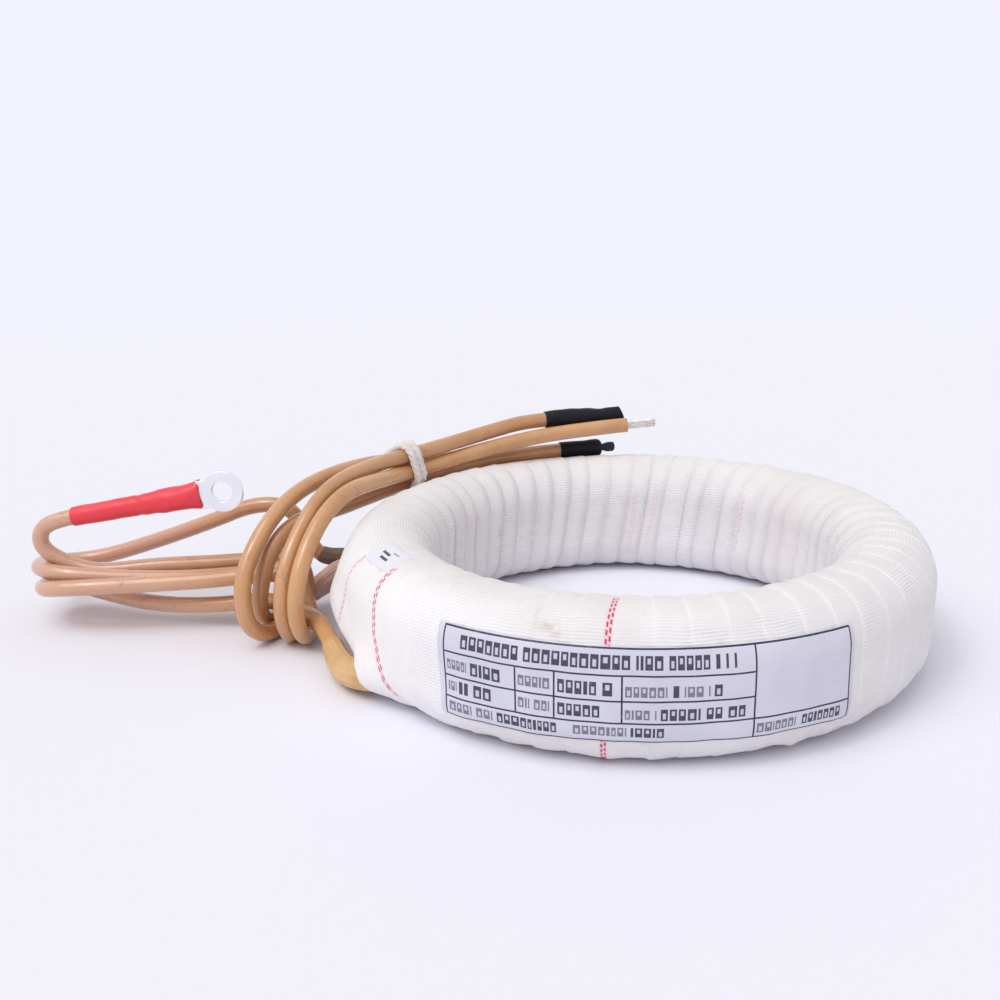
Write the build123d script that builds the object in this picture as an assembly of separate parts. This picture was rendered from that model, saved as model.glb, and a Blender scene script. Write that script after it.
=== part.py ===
from build123d import *
import os
from math import cos, pi, radians, sin, sqrt, tan

# Ring current transformer: a strip core in two moulded caps, its secondary winding, film and a lapped cotton tape,
# with four leads tied to the far side of the ring. Millimetres, +Z up. The origin is the centre of the ring on the
# surface that it rests on, and the label faces -Y. Azimuths are in degrees, anticlockwise from +X seen from above.

# The ring, measured over its tape
OUTER_R = 70.0
WINDOW_R = 48.0
HEIGHT = 32.3
OUTER_EDGE = 10.5       # radius of the two outer edges
INNER_EDGE = 10.0       # radius of the two window edges

# The tape, wound round the ring in laps that each cover the end of the one before
LAPS = 57
LAP_STEP = 0.3
TAPE = 1.1
BORE_PROUD = 0.05        # of the window's round wall, inside the crests of the laps
FOOT_RADII = (57.5, 60.0)

# The layers under the tape, from the outside in. Their edges are cut at 45 degrees.
EDGE_CUT = 8.0          # leg of the cut on the outside of the film
FILM = 0.3
WIRE = 1.6              # side of the square winding wire
WIRE_SLACK = 0.05       # room on each side of the wire
WRAP = 0.35
FILM_INSIDE = TAPE + FILM
WRAP_OUTSIDE = FILM_INSIDE + WIRE + 2 * WIRE_SLACK
CAP_OUTSIDE = WRAP_OUTSIDE + WRAP

# The secondary winding and the core
TURNS = 80
CORE_WIDTH = 8.4
CORE_HEIGHT = 16.0

# Paper on the tape
PAPER = 0.2
LABEL_AZIMUTHS = (230.3, 301.6)
LABEL_HEIGHTS = (7.1, 26.5)
STICKER_AZIMUTHS = (199.5, 211.5)
STICKER_RADII = (57.2, 63.8)

# The leads, and the sleeves that they leave the tape through
LEAD_D = 4.2
LEAD_R = LEAD_D / 2
BEND_SHARE = 0.45       # share of the shorter run that each bend takes
EXIT_SLEEVE_D = 6.0
STRAIGHT_SHARE = 1 - BEND_SHARE

# What is on the ends of the leads
CONDUCTOR_D = 2.5
STRANDS = 6
STRAND_OVERLAP = 1.08    # of each strand's radius, so that the strands are one solid
BARE_LENGTH = 8.3
STRAND_TWIST = 150.0
RED_SLEEVE_START = 3.0   # from the last corner of the red lead's route
RED_SLEEVE_LENGTH = 35.2
BARREL_START = 23.5      # from the start of the red sleeve
BARREL_D = 5.4
BARREL_BORE = 8.0
LUG_D = 10.6
LUG_HOLE_D = 5.3
LUG_THICKNESS = 1.4
LUG_NECK = 7.6
LUG_FLATTENING = 3.0     # length over which the barrel is pressed flat, up to the end of the sleeve
LUG_OFFSET = 0.8         # of the flat ring from the axis, towards the label's side
LUG_REACH = 5.9          # from the end of the sleeve to the middle of the ring
UPPER_SLEEVE_START = 4.6
UPPER_SLEEVE_LENGTH = 24.6
UPPER_SLEEVE_SLANT = 20.0
KNIFE = 20.0             # width of the cutter, wider than the sleeve
LOWER_SLEEVE_START = 5.1
LOWER_SLEEVE_LENGTH = 12.4
BLADE_WIDTH = 2.8
BLADE_THICKNESS = 0.9
BLADE_REACH = 4.2

# The tie round the four leads
TIE_D = 2.0
TIE_PITCH = 1.85
TIE_SLACK = 0.3
TIE_REACH = 20.0         # how far from the tie's middle a lead's crossing is looked for
TIE_CENTRE = (-55.5, 44.2, 33.85)
TIE_DIRECTION = (0.728, 0.685, 0.026)

# Each lead's route, from inside the tape to its free end
RED_ROUTE = [
    (-32.2, 60.7, 19.9), (-37.5, 66.5, 21), (-42.5, 64.5, 29), (-49, 56, 35), (-57, 47, 35),
    (-66, 40, 36.5), (-76.5, 27.5, 36.5), (-84.5, 15, 34.5), (-90.5, 4.5, 28.5), (-95, -3, 18.5),
    (-94.5, -4.5, 7.5), (-90.5, 1, 2.1), (-83.5, 10.5, 2.1), (-76.5, 17, 2.8), (-75, 21, 9),
    (-79, 21, 15.5), (-89, 20.5, 16), (-104, 20.5, 15), (-122, 20.5, 14.5), (-138, 20.5, 12.5),
    (-147, 21, 15.5), (-152.3, 21, 20.2), (-151.3, 20.9, 25.6), (-145.1, 20.4, 27.95), (-139.8, 19.9, 28.9),
]
UPPER_ROUTE = [
    (-62.7, 27.7, 13.5), (-69.3, 30.2, 13.5), (-77, 31.5, 12.5), (-82.5, 31, 18), (-87, 30, 28),
    (-98, 31.5, 27.7), (-110, 33.5, 22.5), (-125, 36.5, 16.8), (-141, 39, 11.5), (-152, 39, 10.5),
    (-157.5, 32, 12.3), (-156.5, 21.5, 14), (-147.5, 14.5, 14.6), (-132, 15.2, 13.2), (-114, 15.5, 12.5),
    (-98, 15.5, 13.5), (-85, 15.5, 14.8), (-77, 14.7, 14.5), (-75, 14.3, 8.5), (-76.5, 11, 2.7),
    (-81.5, 4.5, 2.1), (-85, -1, 2.4), (-87, -6.2, 9.5), (-85.8, -4.8, 21), (-80.5, 5, 31.5),
    (-74, 17, 37), (-65, 31.5, 37.9), (-55.5, 42, 37.95), (-45, 49, 39.3), (-32.5, 55.5, 41.5),
    (-23.5, 59.7, 42.9), (-13.9, 61.9, 43.0),
]
BARE_ROUTE = [
    (-57.3, -35.2, 4.3), (-65, -29.8, 2.45), (-69.5, -20.5, 2.7), (-73.5, -10.5, 4.5), (-77, -2, 7.2),
    (-82.5, 7, 7), (-90, 12.6, 7.1), (-102, 12.5, 6.4), (-115, 14.5, 5.5), (-127, 19.5, 5),
    (-139, 26, 5.5), (-149, 29, 7), (-154.8, 23, 8.6), (-151.5, 12.8, 10.9), (-141, 9.5, 12.8),
    (-124, 10, 13), (-108, 10.5, 13.5), (-96, 10.8, 14.5), (-85, 10.3, 15.5), (-77, 8.8, 15),
    (-75, 7.8, 8.8), (-75.8, 4, 2.6), (-79, -1, 2.1), (-81.8, -4.5, 3), (-83, -8.2, 10.5),
    (-81.8, -7.2, 20.5), (-77.8, 0.5, 30.5), (-71, 12, 36), (-63.5, 26, 35), (-56.2, 41.5, 33.2),
    (-46.8, 47.4, 34.6), (-34, 52.5, 37), (-20, 56.5, 39.2), (-5, 59, 40.5), (5.2, 60.5, 41),
]
LOWER_ROUTE = [
    (-64.9, 22.1, 10.5), (-71.5, 24.5, 10.3), (-77.5, 25, 4.2), (-84, 18.5, 2.1), (-90, 10.3, 2.1),
    (-92.2, 5.2, 7), (-91.5, 3, 15.5), (-88.5, 5, 24), (-83.5, 12, 28.5), (-75, 23, 28),
    (-66, 35.5, 28.5), (-56, 46.5, 29.5), (-46, 52.5, 30.7), (-33.5, 59, 32.2), (-19, 63.5, 33.4),
    (-8, 65.2, 33.8),
]
ROUTES = {"red": RED_ROUTE, "upper": UPPER_ROUTE, "bare": BARE_ROUTE, "lower": LOWER_ROUTE}


# Sections of the ring, drawn with X as the radius and Y as the height

def rounded_section(depth):
    """The ring's rounded section, drawn in from the crests of the tape by depth."""
    width = OUTER_R - WINDOW_R - 2 * depth
    middle = Pos((OUTER_R + WINDOW_R) / 2, HEIGHT / 2)
    section = middle * Rectangle(width, HEIGHT - 2 * depth)
    section = fillet(section.vertices().group_by(Axis.X)[-1], OUTER_EDGE - depth)
    return fillet(section.vertices().group_by(Axis.X)[0], INNER_EDGE - depth)


def cut_corners(depth):
    """The eight corners of the layers' section at depth, up the outside first, then round over the top."""
    cut = EDGE_CUT - (2 - sqrt(2)) * (depth - TAPE)
    inner, outer = WINDOW_R + depth, OUTER_R - depth
    low, high = depth, HEIGHT - depth
    return [
        (outer, low + cut), (outer, high - cut), (outer - cut, high), (inner + cut, high),
        (inner, high - cut), (inner, low + cut), (inner + cut, low), (outer - cut, low),
    ]


def cut_section(depth):
    return make_face(Polyline(*cut_corners(depth), close=True))


def turned(section, azimuths=(0, 360)):
    """A section swept round the ring's axis between two azimuths."""
    start, end = azimuths
    return revolve(Plane.XZ * section, Axis.Z, end - start).rotate(Axis.Z, start)


# The ring

def tape_lap(index):
    """One lap: full size where it starts, and a step lower where the next lap covers its end."""
    pitch = 360 / LAPS
    ends = []
    for azimuth, depth in ((index * pitch, 0), ((index + 1) * pitch, LAP_STEP)):
        outward = Vector(cos(radians(azimuth)), sin(radians(azimuth)), 0)
        plane = Plane(origin=(0, 0, 0), x_dir=outward, z_dir=outward.cross(Vector(0, 0, 1)))
        ends.append(plane * rounded_section(depth))
    return loft(ends, ruled=True)


def window_wall():
    """The straight middle of the window's wall, drawn round, where a busbar or cable passes."""
    width = BORE_PROUD + 2 * TAPE
    middle = Pos(WINDOW_R - BORE_PROUD + width / 2, HEIGHT / 2)
    return turned(middle * Rectangle(width, HEIGHT - 2 * INNER_EDGE))


def foot():
    """The narrow flat ring that the object rests on, drawn level over the steps of the laps."""
    inner, outer = FOOT_RADII
    return turned(Pos((inner + outer) / 2, TAPE) * Rectangle(outer - inner, 2 * TAPE))


def outer_tape():
    laps = Part() + [tape_lap(index) for index in range(LAPS)]
    holes = [exit_rod(name, EXIT_SLEEVE_D) for name in ROUTES]
    return laps + window_wall() + foot() - turned(cut_section(TAPE)) - holes


def layer(outside, inside):
    return turned(cut_section(outside) - cut_section(inside))


def winding_ring(corner, azimuth):
    """The four corners of the wire where it turns a corner of the section: two outside, then two inside."""
    a = radians(azimuth)
    ring = []
    for depth, sides in ((FILM_INSIDE + WIRE_SLACK, (-1, 1)), (WRAP_OUTSIDE - WIRE_SLACK, (1, -1))):
        r, z = cut_corners(depth)[corner]
        for side in sides:
            s = side * WIRE / 2
            ring.append(Vector(r * cos(a) - s * sin(a), r * sin(a) + s * cos(a), z))
    return ring


def flat_faces(loop):
    """A quadrilateral as one flat face, or as two triangles where its corners are out of one plane."""
    a, b, c, d = loop
    normal = (b - a).cross(c - a).normalized()
    if abs(normal.dot(d - a)) < 1e-6:
        return [Face(Wire.make_polygon(loop))]
    return [Face(Wire.make_polygon([a, b, c])), Face(Wire.make_polygon([a, c, d]))]


def secondary_winding():
    """One wire in flat eight-cornered turns, each stepping on to the next as it climbs the outside."""
    pitch = 360 / (TURNS + 1)
    rings = []
    for turn in range(TURNS):
        rings += [winding_ring(corner % 8, turn * pitch) for corner in range(1, 9)]
    rings.append(winding_ring(1, TURNS * pitch))
    faces = [Face(Wire.make_polygon(rings[0])), Face(Wire.make_polygon(rings[-1]))]
    for here, there in zip(rings, rings[1:]):
        for i in range(4):
            j = (i + 1) % 4
            faces += flat_faces([here[i], here[j], there[j], there[i]])
    return Solid(Shell(faces))


def core_channel():
    middle = Pos((OUTER_R + WINDOW_R) / 2, HEIGHT / 2)
    return middle * Rectangle(CORE_WIDTH, CORE_HEIGHT)


def core_cap(side):
    """The cap above (side 1) or below (side -1) the core: they meet half way up it."""
    half = Pos((OUTER_R + WINDOW_R) / 2, HEIGHT / 2 + side * HEIGHT / 4) * Rectangle(OUTER_R, HEIGHT / 2)
    return turned((cut_section(CAP_OUTSIDE) - core_channel()) & half)


# Paper on the tape

def paper(azimuths, radii, heights):
    """A patch of paper that follows the ring's rounded section between two radii, heights and azimuths."""
    width, height = radii[1] - radii[0], heights[1] - heights[0]
    window = Pos(sum(radii) / 2, sum(heights) / 2) * Rectangle(width, height)
    return turned((rounded_section(-PAPER) - rounded_section(0)) & window, azimuths)


def rating_label():
    return paper(LABEL_AZIMUTHS, (OUTER_R - OUTER_EDGE, OUTER_R + 1), LABEL_HEIGHTS)


def number_sticker():
    return paper(STICKER_AZIMUTHS, STICKER_RADII, (HEIGHT / 2, HEIGHT + 1))


# The leads and their exits

def bend_radii(points):
    corners = [Vector(*point) for point in points]
    radii = []
    for before, corner, after in zip(corners, corners[1:], corners[2:]):
        arriving, leaving = corner - before, after - corner
        half_turn = radians(arriving.get_angle(leaving)) / 2
        radii.append(BEND_SHARE * min(arriving.length, leaving.length) / tan(half_turn))
    return radii


def lead(name):
    """A lead as straight runs joined by tangent arcs, ending flush with the film inside the tape."""
    radii = bend_radii(ROUTES[name])
    path = FilletPolyline(*ROUTES[name], radius=radii)
    tube = sweep(Plane(origin=path @ 0, z_dir=path % 0) * Circle(LEAD_R), path)
    expected = pi * LEAD_R ** 2 * path.length
    print(f"{name} lead: {path.length:.0f} mm, volume {tube.volume / expected:.3f} of section times length")
    print("   bend radii " + " ".join(f"{radius:.1f}" for radius in radii))
    return tube - turned(cut_section(TAPE))


def exit_rod(name, diameter):
    """A rod along the straight first stretch of a lead, which also reaches back through the tape."""
    start, corner = Vector(*ROUTES[name][0]), Vector(*ROUTES[name][1])
    run = corner - start
    back = 2 * TAPE + LEAD_R
    length = back + STRAIGHT_SHARE * run.length
    plane = Plane(origin=start - run.normalized() * back, z_dir=run)
    return plane * extrude(Circle(diameter / 2), length)


def exit_sleeve(name):
    return exit_rod(name, EXIT_SLEEVE_D) - exit_rod(name, LEAD_D) - turned(cut_section(TAPE))


# The ends of the leads. Each is drawn along +Z and placed on the last run of its lead.

def end_place(name, distance):
    """The place on the last run of a lead, that far past its last corner, with X pointing up."""
    corner, end = Vector(*ROUTES[name][-2]), Vector(*ROUTES[name][-1])
    along = (end - corner).normalized()
    up = (Vector(0, 0, 1) - along * along.Z).normalized()
    return Plane(origin=corner + along * distance, x_dir=up, z_dir=along)


def last_run(name):
    return (Vector(*ROUTES[name][-1]) - Vector(*ROUTES[name][-2])).length


def shrunk(stations):
    """A heat-shrunk solid along Z through oval stations, given as (distance, half height, half width)."""
    return loft([Pos(0, 0, distance) * Ellipse(up, across) for distance, up, across in stations], ruled=True)


def rod(start, end, diameter):
    return Pos(0, 0, start) * extrude(Circle(diameter / 2), end - start)


def red_sleeve():
    """Heat-shrunk over the lead and the barrel of the lug, and spread where the barrel is pressed flat."""
    body = shrunk([
        (0, 2.5, 2.5), (9, 2.55, 2.55), (16, 2.55, 2.55), (19, 2.8, 2.75), (22, 2.75, 2.75),
        (25.5, 3.05, 3.05), (31, 3.1, 3.05), (RED_SLEEVE_LENGTH, 3.9, 2.4),
    ])
    body = Pos(0, 0, RED_SLEEVE_START) * body - rod(0, RED_SLEEVE_START + BARREL_START, LEAD_D)
    return end_place("red", 0) * (body - lug_blank())


def red_conductor():
    start = last_run("red")
    end = RED_SLEEVE_START + BARREL_START + BARREL_BORE
    return end_place("red", 0) * rod(start, end, CONDUCTOR_D)


def lug_blank():
    """A tube lug without its bore: a barrel, its end pressed into a flat ring that faces the label's side."""
    start = RED_SLEEVE_START + BARREL_START
    end = RED_SLEEVE_START + RED_SLEEVE_LENGTH
    pressed = Pos(0, LUG_OFFSET, end) * Ellipse(LUG_NECK / 2, LUG_THICKNESS / 2)
    neck = loft([Pos(0, 0, end - LUG_FLATTENING) * Circle(BARREL_D / 2), pressed])
    barrel = rod(start, end - LUG_FLATTENING, BARREL_D) + neck
    outline = Circle(LUG_D / 2) + Pos(0, -LUG_REACH / 2) * Rectangle(LUG_NECK, LUG_REACH)
    ring = extrude(outline - Circle(LUG_HOLE_D / 2), LUG_THICKNESS / 2, both=True)
    return barrel + Pos(0, LUG_OFFSET, end + LUG_REACH) * Rot(90, 0, 0) * ring


def red_lug():
    start = RED_SLEEVE_START + BARREL_START
    return end_place("red", 0) * (lug_blank() - rod(start, start + BARREL_BORE, CONDUCTOR_D))


def upper_black_sleeve():
    """Shrunk over the end of its lead and pinched beyond it, with a slanted cut."""
    end = UPPER_SLEEVE_START + UPPER_SLEEVE_LENGTH
    stations = [
        (0, 2.35, 2.35), (3, 2.45, 2.45), (9, 2.5, 2.5), (16, 2.2, 2.15),
        (21, 2.3, 2.1), (UPPER_SLEEVE_LENGTH, 2.35, 2.05),
    ]
    body = Pos(0, 0, UPPER_SLEEVE_START) * shrunk(stations)
    knife = Pos(0, 0, end) * Rot(0, UPPER_SLEEVE_SLANT, 0) * Pos(0, 0, LEAD_D) * Box(KNIFE, KNIFE, 2 * LEAD_D)
    return end_place("upper", 0) * (body - rod(0, last_run("upper"), LEAD_D) - knife)


def blade():
    start = last_run("lower")
    length = LOWER_SLEEVE_START + LOWER_SLEEVE_LENGTH + BLADE_REACH - start
    return Pos(0, 0, start + length / 2) * Box(BLADE_WIDTH, BLADE_THICKNESS, length)


def lower_blade():
    return end_place("lower", 0) * blade()


def lower_black_sleeve():
    stations = [(0, 2.35, 2.35), (4, 2.4, 2.4), (8, 2.35, 2.35), (10.5, 2.6, 2.55), (LOWER_SLEEVE_LENGTH, 2.3, 2.2)]
    body = Pos(0, 0, LOWER_SLEEVE_START) * shrunk(stations)
    return end_place("lower", 0) * (body - rod(0, last_run("lower"), LEAD_D) - blade())


def bare_conductor():
    """A ring of strands round a middle one, laid up with a twist."""
    strand_r = CONDUCTOR_D / 6
    strands = PolarLocations(2 * strand_r, STRANDS) * Circle(strand_r * STRAND_OVERLAP)
    section = Circle(2 * strand_r) + strands
    twisted = Solid.extrude_linear_with_rotation(section.face(), (0, 0, 0), (0, 0, BARE_LENGTH), STRAND_TWIST)
    return end_place("bare", last_run("bare")) * twisted


def tie_plane():
    return Plane(origin=TIE_CENTRE, x_dir=Vector(*TIE_DIRECTION).cross(Vector(0, 0, 1)), z_dir=TIE_DIRECTION)


def where_cut(name, plane):
    """The point, in the plane's own coordinates, at which a lead passes through the tie."""
    points = [plane.to_local_coords(Vector(*point)) for point in ROUTES[name]]
    for here, there in zip(points, points[1:]):
        near = Vector(here.X, here.Y, 0).length < TIE_REACH
        if near and here.Z * there.Z <= 0:
            middle = here + (there - here) * (here.Z / (here.Z - there.Z))
            return middle.X, middle.Y
    raise ValueError(f"the {name} lead misses the tie")


def tie_cord():
    """Two turns of soft cord, side by side, pulled tight round the four leads."""
    plane = tie_plane()
    leads = Polyline(*[where_cut(name, plane) for name in ("red", "upper", "bare", "lower")], close=True)
    loop = offset(make_face(leads), LEAD_R + TIE_SLACK + TIE_D / 2).face().outer_wire()
    turn = sweep(Plane(origin=loop @ 0, z_dir=loop % 0) * Circle(TIE_D / 2), loop)
    turns = [Pos(0, 0, side * TIE_PITCH / 2) * turn for side in (-1, 1)]
    return plane * (turns[0] + turns[1])


def save(name, shape):
    export_step(shape, f"parts/{name}.step")


os.makedirs("parts", exist_ok=True)
save("outer_tape", outer_tape())
save("winding_film", layer(TAPE, FILM_INSIDE))
save("secondary_winding", secondary_winding())
save("core_wrap", layer(WRAP_OUTSIDE, CAP_OUTSIDE))
save("top_core_cap", core_cap(1))
save("bottom_core_cap", core_cap(-1))
save("strip_core", turned(core_channel()))
save("rating_label", rating_label())
save("number_sticker", number_sticker())
for name in ROUTES:
    save(f"{name}_lead", lead(name))
    save(f"{name}_exit_sleeve", exit_sleeve(name))
save("red_sleeve", red_sleeve())
save("red_conductor", red_conductor())
save("red_lug", red_lug())
save("upper_black_sleeve", upper_black_sleeve())
save("lower_black_sleeve", lower_black_sleeve())
save("lower_blade", lower_blade())
save("bare_conductor", bare_conductor())
save("tie_cord", tie_cord())
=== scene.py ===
"""Dresses the ring current transformer: lapped cotton tape, paper labels, four leads and their ends."""
import math

import bpy
import numpy as np
from mathutils import Matrix


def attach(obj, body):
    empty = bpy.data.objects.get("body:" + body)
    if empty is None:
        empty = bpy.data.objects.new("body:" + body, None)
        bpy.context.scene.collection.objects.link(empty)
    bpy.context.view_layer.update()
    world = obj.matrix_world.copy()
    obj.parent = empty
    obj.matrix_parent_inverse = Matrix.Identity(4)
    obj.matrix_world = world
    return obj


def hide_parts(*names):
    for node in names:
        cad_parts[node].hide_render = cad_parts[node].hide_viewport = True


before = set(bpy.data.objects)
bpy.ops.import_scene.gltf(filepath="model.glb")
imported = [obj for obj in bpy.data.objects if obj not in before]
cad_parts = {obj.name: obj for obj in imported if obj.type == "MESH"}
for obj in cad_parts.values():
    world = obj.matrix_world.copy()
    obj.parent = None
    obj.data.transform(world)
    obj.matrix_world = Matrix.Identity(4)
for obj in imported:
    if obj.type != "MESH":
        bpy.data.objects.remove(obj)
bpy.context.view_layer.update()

MM = 0.001
TURN = 2 * math.pi
SCENE = bpy.context.scene
SCENE.view_settings.view_transform = "Standard"


def linked(name, data):
    """An object in the scene."""
    thing = bpy.data.objects.new(name, data)
    SCENE.collection.objects.link(thing)
    return thing


# ---- the camera

def aimed_camera(aim, distance, pitch, roll, lens):
    """A camera at a distance from its aim, pitched down and rolled about its own axis, in degrees and mm."""
    down, turn = math.radians(pitch), math.radians(roll)
    back = np.array([0, -math.cos(down), math.sin(down)])
    level, rising = np.array([1.0, 0, 0]), np.cross([1.0, 0, 0], -back)
    right = math.cos(turn) * level + math.sin(turn) * rising
    upward = -math.sin(turn) * level + math.cos(turn) * rising
    place = (np.array(aim) + distance * back) * MM
    data = bpy.data.cameras.new("camera")
    data.lens, data.sensor_width = lens, 36
    data.clip_start, data.clip_end = 0.01, 20
    camera = linked("camera", data)
    columns = np.column_stack([right, upward, back, place])
    camera.matrix_world = Matrix(np.vstack([columns, [0, 0, 0, 1]]).tolist())
    return camera


SCENE.camera = aimed_camera((-31.8, 64.8, 18.0), 349, 15.72, -1.163, 42.16)


# ---- the leads

LEAD_D = 4.2
ROUTES = {
    "red": [
        (-32.2, 60.7, 19.9), (-37.5, 66.5, 21), (-42.5, 64.5, 29), (-49, 56, 35), (-57, 47, 35),
        (-66, 40, 36.5), (-76.5, 27.5, 36.5), (-84.5, 15, 34.5), (-90.5, 4.5, 28.5), (-95, -3, 18.5),
        (-94.5, -4.5, 7.5), (-91.1, 0.5, 2.1), (-87.8, 9.2, 2.1), (-83.8, 16.7, 3), (-82.8, 20.7, 9.2),
        (-84.8, 20.9, 15.6), (-91.4, 20.5, 16), (-104, 20.5, 15), (-122, 20.5, 14.6), (-138, 20.7, 12.9),
        (-147, 21.3, 15.9), (-152.3, 21, 20.2), (-151.3, 20.9, 25.6), (-145.1, 20.4, 27.95),
        (-139.8, 19.9, 28.9),
    ],
    "upper": [
        (-62.7, 27.7, 12.5), (-72, 31, 12.3), (-81.5, 32.3, 12.2), (-84.5, 31.3, 19.6), (-88, 30, 27.5),
        (-98, 31.5, 27.7), (-110, 33.5, 22.5), (-125, 36.5, 16.8), (-141, 39, 11.5), (-150.5, 38.5, 10.5),
        (-155.4, 32, 12.5), (-154.4, 21.5, 14.3), (-146, 14.8, 14.7), (-132, 15.2, 13.2), (-114, 15.5, 12.5),
        (-98, 15.5, 13.5), (-88.8, 15.5, 14.8), (-84.3, 14.8, 14.3), (-83, 14.1, 8.7), (-82.1, 10.5, 3.1),
        (-83.9, 4.6, 2.1), (-84.7, -0.9, 2.5), (-85.4, -5.7, 9.5), (-84.3, -4.3, 21), (-79.6, 5, 31.5),
        (-74, 17, 37), (-65, 31.5, 37.9), (-55.5, 42, 37.95), (-45, 49, 39.3), (-32.5, 55.5, 41.5),
        (-23.5, 59.7, 42.9), (-13.9, 61.9, 43),
    ],
    "bare": [
        (-57.3, -35.2, 6.2), (-65.6, -29.8, 4.6), (-69.7, -20.6, 3.7), (-72.7, -11.1, 5), (-77, -2.7, 7.9),
        (-83.7, 4.4, 8), (-90.9, 11.5, 7.8), (-102.1, 12.4, 6.4), (-115, 14.5, 5.5), (-127, 19.5, 5),
        (-139, 26, 5.5), (-148, 29, 7.3), (-153.2, 23, 9), (-150, 12.8, 11.2), (-140.5, 9.5, 12.6),
        (-124, 10, 13), (-108, 10.5, 13.5), (-96.5, 10.8, 14.5), (-88.6, 10.4, 15.2), (-83.6, 9.1, 14.3),
        (-81.4, 8.5, 9), (-79.5, 5.4, 4), (-79.8, 1, 2.6), (-80.7, -4, 3.3), (-81.6, -8.3, 10.8),
        (-80.4, -7, 20.7), (-76.6, 1, 30.5), (-70.6, 12, 36), (-63.5, 26, 35), (-56.2, 41.5, 33.2),
        (-46.8, 47.4, 34.6), (-34, 52.5, 37), (-20, 56.5, 39.2), (-5, 59, 40.5), (5.2, 60.5, 41),
    ],
    "lower": [
        (-64.9, 22.3, 12), (-71.7, 25, 11.8), (-79.3, 26.6, 7), (-86.2, 22.6, 2.1), (-92, 10.8, 2.2),
        (-92.9, 4.9, 6.7), (-91.5, 3, 15.5), (-88.5, 5, 24), (-83.5, 12, 28.5), (-75, 23, 28),
        (-66, 35.5, 28.5), (-56, 46.5, 29.5), (-46, 52.5, 30.7), (-33.5, 59, 32.1), (-19, 63.5, 32.9),
        (-8, 65.2, 33.1),
    ],
}


def lead_curve(name, bevel):
    """The lead's one smooth spline, drawn through its route, as a bare line or as a round lead."""
    data = bpy.data.curves.new(name, "CURVE")
    data.dimensions = "3D"
    data.resolution_u = 8
    data.bevel_depth = bevel * MM
    data.bevel_resolution = 5
    data.use_fill_caps = True
    spline = data.splines.new("NURBS")
    spline.points.add(len(ROUTES[name]) - 1)
    for point, (x, y, z) in zip(spline.points, ROUTES[name]):
        point.co = (x * MM, y * MM, z * MM, 1)
    spline.order_u = 3
    spline.use_endpoint_u = True
    return data


def lead_line(name):
    """Points in mm along the middle of a lead, and the length of lead up to each."""
    curve = bpy.data.objects.new("line", lead_curve(name, 0))
    mesh = bpy.data.meshes.new_from_object(curve)
    points = np.empty(3 * len(mesh.vertices))
    mesh.vertices.foreach_get("co", points)
    points = points.reshape(-1, 3) / MM
    bpy.data.meshes.remove(mesh)
    bpy.data.objects.remove(curve)
    steps = np.linalg.norm(np.diff(points, axis=0), axis=1)
    return points, np.concatenate([[0], np.cumsum(steps)])


def placed(name, data, finish, replaces):
    """A piece with its finish, on the root body and in place of its solids."""
    data.materials.append(finish)
    piece = linked(name, data)
    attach(piece, "root")
    if replaces:
        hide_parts(*replaces)
    return piece


def lead_piece(name, finish):
    """The insulation of a whole lead, as one round cord."""
    cord = lead_curve(name, LEAD_D / 2)
    return placed(f"{name}_lead_insulation", cord, finish, [f"{name}_lead"])


# ---- surfaces on a grid

def cell_corners(grid):
    """The values at the four corners of each cell of a grid, in order round the cell."""
    return np.stack([grid[:-1, :-1], grid[:-1, 1:], grid[1:, 1:], grid[1:, :-1]], axis=2)


def grid_mesh(name, points, closed=(False, False), shift=0):
    """A mesh whose faces are the cells of a grid of points, rows by columns, in mm.

    closed joins the last row to the first, moved along by shift columns, and the last column to the first.
    """
    index = np.arange(points.shape[0] * points.shape[1]).reshape(points.shape[:2])
    if closed[0]:
        index = np.vstack([index, np.roll(index[:1], -shift, axis=1)])
    if closed[1]:
        index = np.hstack([index, index[:, :1]])
    mesh = bpy.data.meshes.new(name)
    faces = cell_corners(index).reshape(-1, 4)
    mesh.from_pydata((points.reshape(-1, 3) * MM).tolist(), [], faces.tolist())
    return mesh


def grid_piece(name, points, finish, replaces=(), closed=(False, False), shift=0,
               maps=(), marks=(), face_marks=()):
    """A smooth piece on a grid of points.

    maps are (name, values) pairs with two numbers at every grid crossing, the closing ones included.
    marks are (name, values) pairs with one number at every point, and face_marks with one at every cell.
    """
    mesh = grid_mesh(name, points, closed, shift)
    for label, values in maps:
        flat = cell_corners(values).reshape(-1).astype(np.float32)
        mesh.uv_layers.new(name=label).data.foreach_set("uv", flat)
    for domain, named in (("POINT", marks), ("FACE", face_marks)):
        for label, values in named:
            layer = mesh.attributes.new(label, "FLOAT", domain)
            layer.data.foreach_set("value", values.reshape(-1).astype(np.float32))
    mesh.shade_smooth()
    return placed(name, mesh, finish, replaces)


def tube_piece(name, points, finish, slot, *replaces, maps=()):
    """A piece made of rings of points, one after another, each closed on itself."""
    return grid_piece(name, points, finish, replaces, closed=(False, True), maps=maps)


def round_angles(count):
    """Even angles round a ring of points, as a row."""
    return np.linspace(0, TURN, count, endpoint=False)[None, :]


def both(across, upward):
    """A pair of numbers at every crossing of a grid."""
    return np.stack(np.broadcast_arrays(across, upward), axis=-1)


def bump(value, width):
    """A round hump: one at nought, falling away over the width."""
    return np.exp(-(value / width) ** 2)


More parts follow.
